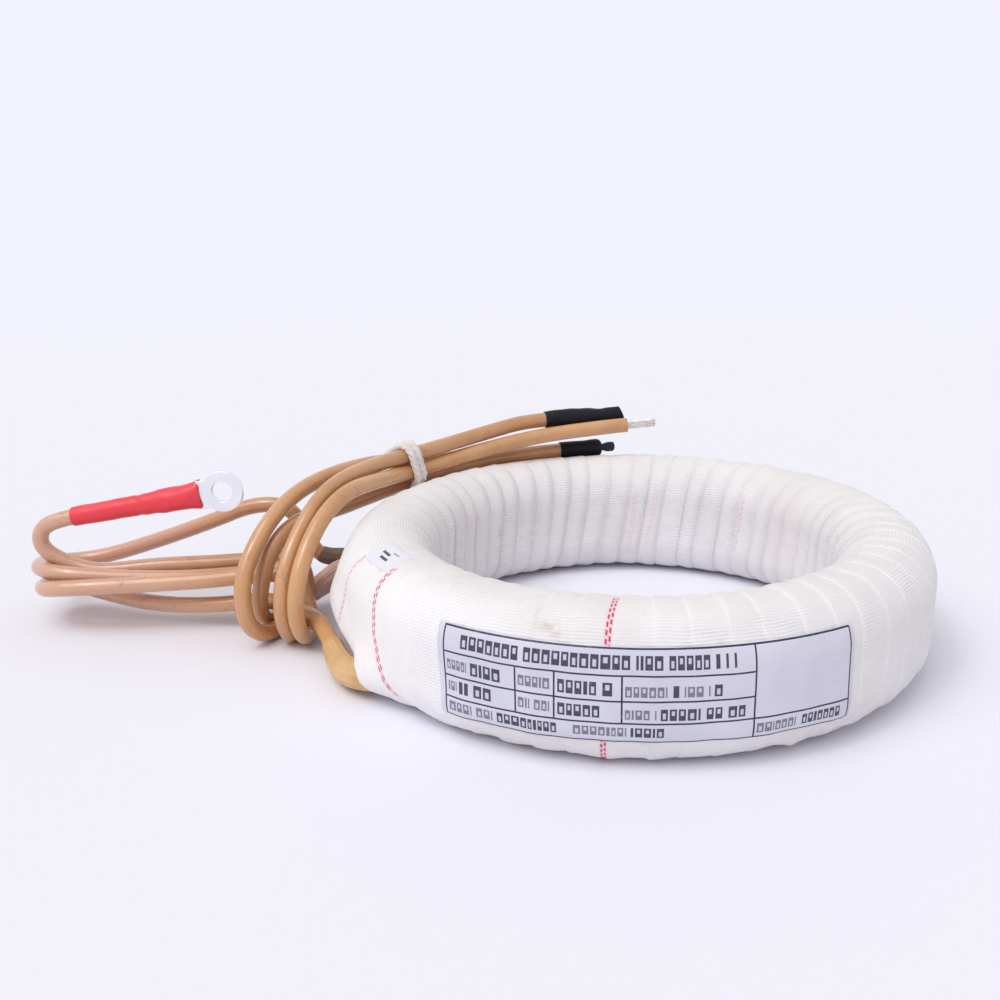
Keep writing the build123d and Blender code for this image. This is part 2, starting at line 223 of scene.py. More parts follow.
def rolled(distance, ends, centres, radii, angles):
    """A line that rolls round corner centres: at each distance, the point and the direction that it faces.

    Between the listed ends the centre, the radius and the facing angle all change evenly, so a stretch
    is an arc where only the angle changes, and a tangent where only the centre and the radius do.
    """
    facing = np.interp(distance, ends, angles)
    radius = np.interp(distance, ends, radii)
    first = np.interp(distance, ends, centres[:, 0]) + radius * np.cos(facing)
    second = np.interp(distance, ends, centres[:, 1]) + radius * np.sin(facing)
    return first, second, facing


# ---- the ring's section

HEIGHT = 32.3
OUTER_EDGE, INNER_EDGE = 10.5, 10.0
OUTER_CENTRE, INNER_CENTRE = 59.5, 58.0
LAPS = 57
LAP_ANGLE = TURN / LAPS

LEVEL_RUN = OUTER_CENTRE - INNER_CENTRE
OUTER_ARC, INNER_ARC = OUTER_EDGE * math.pi / 2, INNER_EDGE * math.pi / 2
SECTION_ENDS = np.cumsum([0, LEVEL_RUN, OUTER_ARC, HEIGHT - 2 * OUTER_EDGE, OUTER_ARC,
                          LEVEL_RUN, INNER_ARC, HEIGHT - 2 * INNER_EDGE, INNER_ARC])
AROUND = SECTION_ENDS[-1]
LOW_OUTER, HIGH_OUTER = (OUTER_CENTRE, OUTER_EDGE), (OUTER_CENTRE, HEIGHT - OUTER_EDGE)
LOW_INNER, HIGH_INNER = (INNER_CENTRE, INNER_EDGE), (INNER_CENTRE, HEIGHT - INNER_EDGE)
SECTION_CENTRES = np.array([LOW_INNER, LOW_OUTER, LOW_OUTER, HIGH_OUTER, HIGH_OUTER,
                            HIGH_INNER, HIGH_INNER, LOW_INNER, LOW_INNER])
SECTION_RADII = np.array([INNER_EDGE] + 4 * [OUTER_EDGE] + 4 * [INNER_EDGE])
SECTION_ANGLES = np.radians([-90, -90, 0, 0, 90, 90, 180, 180, 270])


def section(distance):
    """The rounded section: radius, height and facing angle, from under the ring and up its outside."""
    return rolled(distance, SECTION_ENDS, SECTION_CENTRES, SECTION_RADII, SECTION_ANGLES)


def on_ring(distance, azimuth, outward):
    """Points of the ring at a distance round its section and an azimuth, moved outward along the normal."""
    radius, height, facing = section(distance)
    radius = radius + outward * np.cos(facing)
    height = height + outward * np.sin(facing)
    return np.stack([radius * np.cos(azimuth), radius * np.sin(azimuth), height], axis=-1)


def window_side(facing):
    """How far a surface faces the window, from nought to one."""
    return np.clip(-np.cos(facing), 0, 1)


def outer_side(facing):
    """How far a surface faces outward, from nought to one."""
    return np.clip(np.cos(facing), 0, 1)


def turned_apart(azimuth, centre):
    """How far each azimuth is from a centre, in degrees, the short way round."""
    return (np.degrees(azimuth) - centre + 180) % 360 - 180


def patches(azimuth, distance, rows):
    """The sum of round humps on the ring, one for each row of azimuth, distance, two spreads and height."""
    humps = np.zeros(azimuth.shape)
    for centre, middle, spread, reach, height in rows:
        humps = humps + height * bump(turned_apart(azimuth, centre), spread) * bump(distance - middle, reach)
    return humps


# ---- the lapped tape

LAP_PLACES = np.array([0, 0.02, 0.05, 0.08, 0.13, 0.2, 0.3, 0.4, 0.5, 0.6, 0.7, 0.8, 0.88, 0.95])
EDGE_PLACES, EDGE_DEPTHS = [0, 0.02, 0.05, 0.08, 0.13, 1], [1, 0.85, 0.3, 0.08, 0, 1]
PLEAT_PLACES, PLEAT_DEPTHS = [0, 0.05, 0.13, 0.2, 0.3, 0.45, 1], [1, 0.93, 0.62, 0.3, 0.08, 0, 1]
STATIONS = 112
TAPE_WIDTH = 7.2
CALM_SIDE, CALM_SPREAD = 205, 28
#          azimuth, distance round the section, spread in degrees, spread round the section, height
BULGES = [
    (158.5, 21, 5.5, 9, 1.6),
    (209.5, 14.3, 6.5, 4.8, 3.4),
    (118.2, 27.4, 4.2, 5.5, 2.2),
    (184, 21.5, 9, 8, 3.5),
]
#          the same, with the strength of the stain last
SOILED = [
    (249.6, 37, 1.9, 0.9, 0.75),
    (247.3, 40.2, 0.5, 1.8, 0.55),
    (277.5, 34.5, 0.5, 0.5, 0.7),
    (251.3, 35.5, 0.8, 0.6, 0.5),
    (226, 47, 5, 6, 0.18),
    (300, 12, 9, 4, 0.3),
    (236, 9, 9, 4, 0.25),
]
#          azimuth and distance of its two ends, height, width in mm
FOLDS = [
    (249.5, 47.5, 243.5, 41, 0.55, 0.9),
    (252.5, 48.5, 247.5, 39, 0.35, 0.8),
    (256, 37.5, 249, 36, 0.3, 1),
    (271, 38.5, 279, 36.6, 0.35, 0.9),
    (283, 40, 291, 36.8, 0.35, 1),
    (224.5, 35.5, 223, 21, 0.28, 0.9),
    (220, 14, 228, 8.5, 0.35, 1.1),
    (287, 11.5, 293, 8, 0.4, 1.2),
    (301, 12.5, 309, 8, 0.35, 1.2),
    (206, 15.5, 203.5, 6, 0.7, 0.9),
]
#          azimuths down its length, rising distances round the section, strength
TRACERS = [
    ((258.8, 259.3, 259.8, 260.6), (2, 20, 38, 49), 1),
    ((218.5, 213.8, 211.6, 211.6, 212.4), (12, 19.6, 25, 36, 42), 0.95),
    ((191.5, 195, 199.2, 203), (18, 27, 38, 45), 0.55),
    ((205.8, 204.3), (12, 17), 0.45),
    ((82, 83.3, 85), (60, 72, 80), 0.17),
    ((75, 76.6, 79), (58, 69, 78), 0.15),
    ((44.8, 46, 48), (58, 66, 76), 0.2),
    ((131.2, 132.2), (66, 71), 0.4),
]
TRACER_REACH, FAR_FROM_TRACERS = 6, 50


def lean():
    """How far the lap has moved on, in laps, at each station: fastest down the window's wall."""
    fine = np.linspace(0, AROUND, 1500)
    facing = section(fine)[2]
    rate = 0.1 + 0.19 * outer_side(facing) ** 3 + window_side(facing) ** 3
    total = np.concatenate([[0], np.cumsum((rate[1:] + rate[:-1]) / 2)])
    return fine, total / total[-1]


def lumps(azimuth, distance, seed, waves, finest):
    """A soft unevenness: the sum of waves that close on themselves both ways round the ring."""
    dice = np.random.default_rng(seed)
    height = np.zeros(np.broadcast(azimuth, distance).shape)
    for _ in range(waves):
        way, round_section = dice.integers(-finest, finest + 1), dice.integers(0, 7)
        offset, share = dice.uniform(0, TURN), dice.uniform(0.4, 1)
        height += share * np.sin(way * azimuth + round_section * TURN * distance / AROUND + offset)
    return height / math.sqrt(waves)


def fold_height(azimuth, distance, fold):
    """A ridge along a straight crease between two places on the tape, with a dip beside it."""
    start, start_distance, end, end_distance, height, width = fold
    reach = 65.0
    run = np.array([math.radians(end - start) * reach, end_distance - start_distance])
    length = np.linalg.norm(run)
    run /= length
    x = np.radians(turned_apart(azimuth, start)) * reach
    y = distance - start_distance
    along = x * run[0] + y * run[1]
    across = x * run[1] - y * run[0]
    inside = bump(np.clip(np.abs(along - length / 2) - length / 2 + width, 0, None), width)
    return height * inside * (bump(across, width) - 0.6 * bump(across - 1.5 * width, width))


def tracer_maps(azimuth, distance, radius):
    """How far each point is across from the nearest tracer, in mm, and how strongly the tracer shows."""
    across = np.full(azimuth.shape, FAR_FROM_TRACERS)
    strength = np.zeros(azimuth.shape)
    for azimuths, distances, shown in TRACERS:
        gap = np.radians(turned_apart(azimuth, np.interp(distance, distances, azimuths))) * radius
        fade = np.clip(distance - min(distances), 0, 2) / 2 * np.clip(max(distances) - distance, 0, 2) / 2
        near = (np.abs(gap) < np.abs(across)) & (np.abs(gap) < TRACER_REACH) & (fade > 0)
        across = np.where(near, gap, across)
        strength = np.where(near, shown * fade, strength)
    return across, strength


def soft_shape(azimuth, distance):
    """The unevenness of the wound tape that everything on it follows, more broken along its foot."""
    broad = 0.13 * lumps(azimuth, distance, 4, 26, 30) + 0.16 * lumps(azimuth, distance, 9, 12, 9)
    return broad + 0.2 * lumps(azimuth, distance, 15, 18, 48) * bump(distance - 6.5, 5)


def painted_pleat_shade(place, lap, facing):
    """Painted shade beside each soft pleat down the window's wall: how dark the tape is made, lap by lap,
    from nought to one.
    """
    beside = np.interp(place, [0, 0.12, 0.3, 0.6, 0.85, 1], [0.9, 0.35, 0.1, 0.15, 0.45, 0.9])
    uneven = 0.55 + 0.45 * np.sin(lap * 2.4) * np.sin(lap * 0.77 + 1)
    return beside * uneven * window_side(facing) ** 0.7


def wander(turn):
    """How far the tape's edge strays, in laps: a little, and evenly along the whole length of the strip."""
    angle = turn * LAP_ANGLE
    return 0.05 * np.sin(11 * angle + 1) + 0.05 * np.sin(23 * angle + 2) + 0.035 * np.sin(41 * angle)


def tape_surface(finish):
    """The tape's outside: one strip wound 57 times through the window, each lap over the edge of the last.

    A point lies at a station round the section and at a place across a lap. Its azimuth is the lap's number
    and that place, both moved on by the lean, times one lap's angle. It lies under the crests by a step that
    grows evenly across the lap and closes quickly at the next lap's edge, or in a soft pleat down the
    window's wall. The ribs of the weave are calmer on the outside near CALM_SIDE.
    """
    distance = np.linspace(0, AROUND, STATIONS, endpoint=False)[:, None, None]
    lap = np.arange(LAPS)[None, :, None]
    place = LAP_PLACES[None, None, :]
    strip = lap + distance / AROUND
    strayed = (1 - place) * wander(strip) + place * wander(strip + 1)
    azimuth = LAP_ANGLE * (lap + place + np.interp(distance, *lean()) + strayed)
    radius, _, facing = section(distance)
    inner, outer = window_side(facing), outer_side(facing)
    step = 0.34 + 0.24 * inner - 0.16 * outer
    uneven = 1 + (0.35 + 0.35 * inner) * np.sin(strip * 5.1) * np.sin(strip * 1.7 + 2)
    crisp = np.interp(place, EDGE_PLACES, EDGE_DEPTHS)
    pleated = np.interp(place, PLEAT_PLACES, PLEAT_DEPTHS)
    outward = -step * uneven * (crisp + np.sqrt(inner) * (pleated - crisp))
    outward = outward + soft_shape(azimuth, distance) + patches(azimuth, distance, BULGES)
    outward = outward + sum(fold_height(azimuth, distance, fold) for fold in FOLDS)
    points = on_ring(distance, azimuth, outward).reshape(STATIONS, -1, 3)
    points[..., 2] = np.maximum(points[..., 2], 0)

    across, strength = tracer_maps(azimuth, distance * np.ones(azimuth.shape), radius)
    marks = [
        ("tracer_across", across),
        ("tracer_strength", strength),
        ("soil", patches(azimuth, distance, SOILED)),
        ("painted_pleat_shade", painted_pleat_shade(place, lap, facing) * np.ones(azimuth.shape)),
        ("rib_strength", 1 - 0.7 * bump(turned_apart(azimuth, CALM_SIDE), CALM_SPREAD) * outer),
    ]
    closing = np.linspace(0, AROUND, STATIONS + 1)[:, None]
    laps_on = np.concatenate([(np.arange(LAPS)[:, None] + LAP_PLACES).reshape(-1), [LAPS]])[None, :]
    woven = both(closing, laps_on * TAPE_WIDTH)
    return grid_piece("lapped_cotton_tape", points, finish, ["outer_tape"],
                      closed=(True, True), shift=len(LAP_PLACES), maps=[("tape_weave", woven)], marks=marks)


# ---- printed papers

FRAME_LEFT, DIVIDER, FRAME_RIGHT = -46.9, 15.8, 37.5
ROW_LINES = (26.2, 21.1, 16.0, 11.4, 7.4)
COLUMN_LINES = (-30.6, -22.7, -9.7)
RULE = 0.36
LABEL_AZIMUTH, LABEL_REACH = 270, 70.2
STICKER_AZIMUTH, STICKER_REACH = 205.5, 62.0
BOLD, THIN, HEART = 0.95, 0.72, 0.1
#    start and end of a line of print, its foot, height and ink, its boxes' widths with noughts for spaces
PRINT = [
    (-42.8, 11.9, 22.3, 2.7, BOLD,
     [1, 1, 1, 1, 0.9, 1, 0.9, 0, 0.9, 1, 1, 1, 0.9, 0.9, 1.1, 1, 1.2, 0.9, 1, 0, 0.3, 0.35, 0.9, 1, 0,
      0.8, 0.8, 0.8, 0.8, 0.8, 0, 0.5, 0, 0.3, 0, 0.3]),
    (-46.2, -41.5, 17.4, 2.1, THIN, [0.8, 0.9, 0.8, 0.8, 0.2]),
    (-40.6, -33.8, 17, 2.7, BOLD, [1, 0.4, 1, 1.1]),
    (-46.1, -44, 12.8, 2, THIN, [0.3, 0.8, 0.2]),
    (-43.4, -35.9, 12.5, 2.6, BOLD, [0.5, 0.5, 0, 1, 1]),
    (-30, -23.6, 17.3, 2.2, THIN, [1, 1, 0.9, 0.35, 1.1]),
    (-30, -23.6, 12.7, 2.1, THIN, [0.9, 0.3, 0.2, 0, 0.9, 0.8, 0.2]),
    (-22, -11.5, 17, 2.7, BOLD, [0.8, 0.8, 0.8, 0.45, 0.8, 0, 1.1]),
    (-22, -13.9, 12.4, 2.5, BOLD, [0.9, 0.7, 0.9, 0.9, 0.9]),
    (-9.1, -1.2, 16.9, 2.1, THIN, [0.9, 0.75, 0.9, 0.9, 0.9, 0.2]),
    (-0.1, 1, 16.8, 2.4, BOLD, [0.5]),
    (2, 6.9, 16.9, 2.1, THIN, [0.2, 0.9, 0.9, 0, 0.2]),
    (7.7, 9.2, 16.8, 2.4, BOLD, [0.9]),
    (-9.1, -3.2, 12.3, 2, THIN, [0.7, 0.3, 0.9, 0.8, 0, 0.2]),
    (-2.4, 13.9, 12.1, 2.4, BOLD, [0.8, 0.8, 0.8, 1, 0.25, 0, 0.8, 0.8, 0, 1, 0.8]),
    (-46, -35.7, 8.5, 2, THIN, [1.1, 0.8, 0.9, 0.2, 0, 0.9, 0.9, 0.2]),
    (-34.7, -22.3, 8.4, 2.1, BOLD, [0.9, 0.9, 1.2, 0.9, 0.6, 0.45, 0.6, 0.8, 0.8]),
    (-19, -8.8, 8.6, 1.9, THIN, [1, 0.9, 0.9, 0.9, 0.45, 0.6, 0.8, 0.2]),
    (-8, -1.7, 8.5, 2, BOLD, [0.35, 0.9, 0.9, 0.3, 0.9]),
    (16.4, 24.9, 8.3, 2, THIN, [1.1, 1.1, 0.2, 0.9, 0.9, 0.9, 0.2]),
    (26.3, 35.3, 8.4, 2.1, BOLD, [0.8, 0.8, 0.45, 0.8, 0.8, 0.8, 0.8]),
]


def stops(ends, spans, gap):
    """Sorted places for a grid's lines: the ends, the spans' sides, and more so that no cell is over gap."""
    places = np.unique(np.round(np.concatenate([ends, np.reshape(spans, -1)]), 4))
    parts = [np.linspace(a, b, int(np.ceil((b - a) / gap)) + 1)[:-1] for a, b in zip(places, places[1:])]
    return np.concatenate(parts + [places[-1:]])


def words(start, end, base, height, ink, widths):
    """Made-up marks that fill a line of print from start to end: an inked box for each width.

    The wider boxes have a pale heart, set high or low by turns, so that the line has the grey of print.
    """
    gap, space, widest_solid = 0.2, 0.5, 0.55
    unit = (end - start) / (sum(width + gap if width else space for width in widths) - gap)
    blocks, place = [], start
    for turn, width in enumerate(widths):
        if width == 0:
            place += space * unit
            continue
        right = place + width * unit
        blocks.append((place, right, base, base + height, ink))
        if width > widest_solid:
            stem, bar = 0.28 * width * unit, 0.16 * height
            hearts = (base + bar, base + 0.66 * height), (base + 0.44 * height, base + height - bar)
            blocks.append((place + stem, right - stem, *hearts[turn * 3 % 5 % 2], HEART))
        place = right + gap * unit
    return blocks


def ruled_frame():
    """The printed lines of the label: its frame, four rows, three columns and the block on the right."""
    top, upper, _, lower, bottom = ROW_LINES
    half = RULE / 2
    across = [(FRAME_LEFT - half, FRAME_RIGHT + half, z - half, z + half, 1) for z in (top, lower, bottom)]
    across += [(FRAME_LEFT - half, DIVIDER + half, z - half, z + half, 1) for z in ROW_LINES[1:3]]
    down = [(x - half, x + half, bottom, top, 1) for x in (FRAME_LEFT, DIVIDER, FRAME_RIGHT)]
    down += [(x - half, x + half, lower, upper, 1) for x in COLUMN_LINES]
    return across + down


def inked(across, upward, blocks):
    """How much ink each cell of a paper's grid carries."""
    x = (across[1:] + across[:-1]) / 2
    y = (upward[1:] + upward[:-1]) / 2
    ink = np.zeros((len(y), len(x)))
    for left, right, low, high, amount in blocks:
        cell = ((y > low) & (y < high))[:, None] & ((x > left) & (x < right))[None, :]
        ink = np.where(cell, amount, ink)
    return ink


def paper_piece(name, replaces, centre, reach, across, rows, blocks, finish, lift):
    """A paper patch that follows the ring, with its edges pressed down.

    Its columns are arcs at a reach from the axis, to both sides of a centre azimuth, and its rows lie at
    distances round the section.
    """
    azimuth = math.radians(centre) + across[None, :] / reach
    distance = rows[:, None]
    cockle = soft_shape(azimuth, distance) + 0.06 * lumps(azimuth, distance, 21, 14, 26)
    cockle = cockle + 0.05 * np.sin(azimuth * LAPS)
    edge = np.minimum(np.minimum(across - across[0], across[-1] - across)[None, :],
                      np.minimum(rows - rows[0], rows[-1] - rows)[:, None])
    outward = lift + cockle - 0.22 * np.exp(-edge / 0.25)
    return grid_piece(name, on_ring(distance, azimuth, outward), finish, [replaces],
                      maps=[("paper", both(across[None, :], distance))],
                      face_marks=[("ink", inked(across, rows, blocks))])


def height_to_distance(height):
    """The distance round the section at which the outside of the ring is at a height."""
    fine = np.linspace(SECTION_ENDS[1], SECTION_ENDS[4], 4000)
    return np.interp(height, section(fine)[1], fine)


def rating_label(finish):
    """The printed label, wrapped round the front of the ring and up on to its shoulder."""
    blocks = ruled_frame() + [block for line in PRINT for block in words(*line)]
    across = stops([-48.6, 38.7], [b[:2] for b in blocks], 1.0)
    rows = height_to_distance(stops([7.1, 26.5], [b[2:4] for b in blocks], 0.7))
    laid = [(a, b, height_to_distance(c), height_to_distance(d), ink) for a, b, c, d, ink in blocks]
    return paper_piece("rating_label_paper", "rating_label", LABEL_AZIMUTH, LABEL_REACH, across, rows, laid,
                       finish, 0.28)


def number_sticker(finish):
    """The small sticker on the top of the ring, with three short printed dashes."""
    blocks = [(-2.9, 0.9, 42.3, 43.0, 0.95), (-1.4, 2.3, 40.9, 41.6, 0.95), (0.5, 3.6, 43.6, 44.0, 0.7)]
    across = stops([-6.5, 6.5], [b[:2] for b in blocks], 0.6)
    rows = stops([38.6, 46.2], [b[2:4] for b in blocks], 0.5)
    return paper_piece("number_sticker_paper", "number_sticker", STICKER_AZIMUTH, STICKER_REACH, across, rows,
                       blocks, finish, 0.16)


# ---- pieces along the leads

def unit(vectors):
    """The same directions at a length of one."""
    return vectors / np.linalg.norm(vectors, axis=-1, keepdims=True)


def tube_along(middle, far, upward=(0, 0, 1)):
    """Rings of points across a line, at a distance from it for each angle, measured from the upward side."""
    run = unit(np.gradient(middle, axis=0))
    side = unit(np.cross(np.broadcast_to(upward, run.shape), run))
    rise = np.cross(run, side)
    angle = round_angles(far.shape[1])
    x, y = far * np.cos(angle), far * np.sin(angle)
    return middle[:, None] + x[..., None] * rise[:, None] + y[..., None] * side[:, None]


def lead_stretch(name, start, end, count):
    """Evenly spaced points along the middle of a lead between two lengths."""
    points, lengths = lead_line(name)
    wanted = np.linspace(start, end, count)
    return np.stack([np.interp(wanted, lengths, points[:, i]) for i in range(3)], axis=-1)


def at_end(name, x, y, z):
    """Points given upward, sideways and onward from the last corner of a lead's route."""
    corner, end = np.array(ROUTES[name][-2:])
    onward = unit(end - corner)
    rise = unit(np.array([0, 0, 1.0]) - onward * onward[2])
    side = np.cross(onward, rise)
    return corner + x[..., None] * rise + y[..., None] * side + z[..., None] * onward


#        slot, solid, points round, lean of its mouth, size of the crease where the lead ends inside it,
#        ripples as (height in mm, rate along, times round), stations as (onward, half height, half width)
END_SLEEVES = {
    "red": ("red_shrink", "red_sleeve", 48, 0, 0.2, [(0.025, 1.3, 1), (0.03, 0.5, 3)],
            [(3, 2.52, 2.52), (12, 2.6, 2.6), (18, 2.64, 2.6), (20.5, 2.72, 2.65), (22.5, 2.8, 2.75),
             (25.9, 2.82, 2.8), (27.1, 3.18, 3.1), (34, 3.15, 3.08), (36.6, 3.5, 2.8), (38.2, 3.95, 2.42)]),
    "upper": ("black_shrink", "upper_black_sleeve", 40, 0.36, 0, [(0.05, 1.1, 1), (0.03, 0.8, 2)],
              [(5.2, 2.38, 2.38), (9, 2.62, 2.5), (14, 2.66, 2.55), (18, 2.42, 2.4), (22, 2.02, 2.0),
               (25.5, 2.14, 2.05), (28.4, 2.3, 2.05)]),
    "lower": ("black_shrink", "lower_black_sleeve", 40, 0, 0, [],
              [(5.1, 2.38, 2.38), (9, 2.42, 2.42), (12.5, 2.36, 2.36), (14.6, 2.55, 2.5), (16.2, 2.6, 2.5),
               (17.2, 2.25, 2.15), (17.5, 1.7, 1.6)]),
}
SLEEVE_CREASE, CREASE_SPREAD, LEANING = 21.4, 0.8, 6


def end_sleeve(name, finish):
    """A shrunk sleeve over the end of a lead: an oval that follows smooth stations, with turned-in ends.

    Its size is its station's, less a crease and plus the ripples. The last LEANING mm lean: each mm of height
    moves a point on by as many mm as the lean, growing evenly towards the mouth.
    """
    slot, solid, turn, slant, creased, ripples, stations = END_SLEEVES[name]
    onward, tall, broad = np.array(stations, float).T
    fine = np.linspace(onward[0], onward[-1], 70)
    high, wide = np.interp(fine, onward, tall), np.interp(fine, onward, broad)
    soft = np.array([1, 2, 3, 2, 1]) / 9
    high[2:-2], wide[2:-2] = np.convolve(high, soft, "valid"), np.convolve(wide, soft, "valid")
    start_on, start_size = fine[0] + np.array([1.2, 0.4, 0.0, 0.05]), np.array([0.8, 0.86, 0.93, 0.985])
    end_on, end_size = fine[-1] + np.array([0.02, -0.1, -0.9, -2.2]), np.array([0.97, 0.86, 0.8, 0.3])
    z = np.concatenate([start_on, fine[1:], end_on])[:, None]
    high = np.concatenate([high[0] * start_size, high[1:], high[-1] * end_size])[:, None]
    wide = np.concatenate([wide[0] * start_size, wide[1:], wide[-1] * end_size])[:, None]
    angle = round_angles(turn)
    extra = -creased * bump(z - SLEEVE_CREASE, CREASE_SPREAD) * (1 + 0.5 * np.cos(angle - 1))
    extra = extra + sum(height * np.sin(rate * z + times * angle) for height, rate, times in ripples)
    x, y = (high + extra) * np.cos(angle), (wide + extra) * np.sin(angle)
    share = np.clip((z - (fine[-1] - LEANING)) / LEANING, 0, 1)
    return tube_piece(f"{name}_end_sleeve", at_end(name, x, y, z - slant * x * share), finish, slot, solid)


def lower_tongue(finish):
    """The flat blade beyond the lower sleeve: a rounded bar that thins to a rounded tip."""
    tip = np.linspace(0.2, math.pi / 2, 8)
    z = np.concatenate([[15.0], np.linspace(16.5, 20.9, 12), 20.9 + 0.8 * np.sin(tip)])
    share = np.concatenate([np.ones(13), np.cos(tip)]) * (1 - 0.3 * bump(z - 17.9, 0.9))
    angle = round_angles(32)
    square = 0.45
    x = 1.4 * share[:, None] * np.sign(np.cos(angle)) * np.abs(np.cos(angle)) ** square
    y = 0.48 * share[:, None] ** 0.5 * np.sign(np.sin(angle)) * np.abs(np.sin(angle)) ** square
    points = at_end("lower", x, y, z[:, None])
    return tube_piece("lower_end_blade", points, finish, "lug_metal", "lower_blade")


LUG_CENTRE, LUG_NECK, LUG_EYE, LUG_RIM, LUG_BACK = 44.1, 3.7, 2.68, 5.3, 6.4
LUG_SIDE, LUG_HALF, LUG_ROUNDING = 0.8, 0.7, 0.05


def ring_lug(finish):
    """The flat ring of the lug: a rounded strip carried round the hole.

    The strip reaches out to the ring's edge, or on the sleeve's side to the edges of a straight neck. Across
    it runs a closed profile of two flat faces and two rounded edges.
    """
    angle = round_angles(240).T
    back, beside = -np.cos(angle), np.abs(np.sin(angle))
    neck = np.minimum(LUG_NECK / np.maximum(beside, 1e-6), LUG_BACK / np.maximum(back, 1e-6))
    reach = np.where(back > 0, np.maximum(LUG_RIM, neck), LUG_RIM)
    bend = np.linspace(-math.pi / 2, math.pi / 2, 9)
    rounded = LUG_ROUNDING * np.cos(bend)
    out_share = np.concatenate([1 - LUG_ROUNDING + rounded, LUG_ROUNDING - rounded])
    thick = np.concatenate([np.sin(bend), np.sin(bend[::-1])])
    face = np.sign(thick) * LUG_HALF * (1 - (1 - np.abs(thick)) ** 2)
    away = LUG_EYE + (reach - LUG_EYE) * out_share
    dished = 0.12 * bump(away - LUG_EYE, 0.5) * np.sign(face)
    points = at_end("red", away * np.sin(angle), LUG_SIDE + face + dished, LUG_CENTRE + away * np.cos(angle))
    return grid_piece("red_lead_lug", points, finish, ["red_lug"], closed=(True, True))


def lug_barrel(finish):
    """The lug's barrel where it leaves the sleeve, pressed from a tube into the flat neck."""
    z = np.linspace(33, 41.2, 26)[:, None]
    flat = np.clip((z - 35) / 5.0, 0, 1)
    flat = flat ** 2 * (3 - 2 * flat)
    angle = round_angles(48)
    x = (2.7 + 1.05 * flat) * np.cos(angle)
    y = (2.1 - 1.33 * flat) * np.sin(angle) + LUG_SIDE * flat
    return tube_piece("red_lead_barrel", at_end("red", x, y, z), finish, "lug_metal")


def bare_strands(finish):
    """The bare end: six strands laid round a seventh, the outline of their circles turning as it goes on."""
    strand, lay = 2.5 / 6, math.radians(150)
    start = np.linalg.norm(np.subtract(ROUTES["bare"][-1], ROUTES["bare"][-2]))
    z = np.concatenate([[start - 1.5], np.linspace(start, start + 8.2, 46), [start + 8.32, start + 8.34]])
    size = np.concatenate([np.ones(47), [0.93, 0.2]])
    angle = round_angles(72)
    laid = lay * (z - start)[:, None] / 8.3
    apart = (angle - laid + TURN / 12) % (TURN / 6) - TURN / 12
    bulge = np.sqrt(np.maximum((1.06 * strand) ** 2 - (2 * strand * np.sin(apart)) ** 2, 0))
    far = (2 * strand * np.cos(apart) + bulge) * size[:, None]
    points = at_end("bare", far * np.cos(angle), far * np.sin(angle), z[:, None])
    return tube_piece("bare_lead_strands", points, finish, "tinned_copper", "bare_conductor")


#        start and end along the lead, radii along it, number of pleats
EXIT_SLEEVES = {
    "red": (0.2, 7.5, (2.95, 2.95, 2.8, 2.5), 9),
    "upper": (0.2, 19.0, (2.4, 2.6, 2.6, 2.45, 2.3), 8),
    "lower": (0.2, 21.5, (2.7, 3.3, 3.35, 3.35, 3.2, 2.9, 2.45), 8),
    "bare": (0.0, 29.0, (2.2, 3.2, 3.35, 3.3, 3.15, 3.0, 2.8, 2.6, 2.4), 11),
}


def exit_sleeve(name, finish):
    """The sleeving where a lead leaves the tape: pleated lengthwise, easing in to the lead."""
    start, end, sizes, pleats = EXIT_SLEEVES[name]
    share = np.linspace(0, 1, 40)[:, None]
    size = np.interp(share, np.linspace(0, 1, len(sizes)), sizes)
    size[-3:] = size[-4] * np.array([[0.99], [0.95], [0.86]])
    angle = round_angles(66)
    pleated = 1 + 0.028 * np.sin(pleats * angle + 2 * share) + 0.015 * np.sin((2 * pleats + 3) * angle)
    far = np.maximum(size * pleated, LEAD_D / 2 + 0.02)
    girth = 18.8
    around = both(share * (end - start), np.linspace(0, girth, 67))
    points = tube_along(lead_stretch(name, start, end, 40), far)
    return tube_piece(f"{name}_exit_sleeving", points, finish, "exit_sleeving", f"{name}_exit_sleeve",
                      maps=[("sleeving", around)])


# ---- the tie

TIE_CENTRE = np.array((-56.8, 43.1, 32.35))
TIE_ALONG = unit(np.array((0.702, 0.660, 0.268)))
TIE_CORNERS = np.array([(-1.53, -3.06), (2.51, 1.31), (2.06, 5.93), (-3.34, 3.25)])
TIE_D, TIE_REACH, TIE_STEP, TIE_TWIST = 2.0, 3.2, 1.9, 1.1
TAIL_CORNERS = np.array([(-56.9, 41.5, 40.9), (-57.6, 44.5, 40.5), (-59.2, 48.0, 38.8), (-61.5, 51.5, 36.6),
                         (-64.5, 54.0, 34.8)])
TAIL_REACH, TAIL_UPWARD = 0.95, (0.3, 0.2, 1)


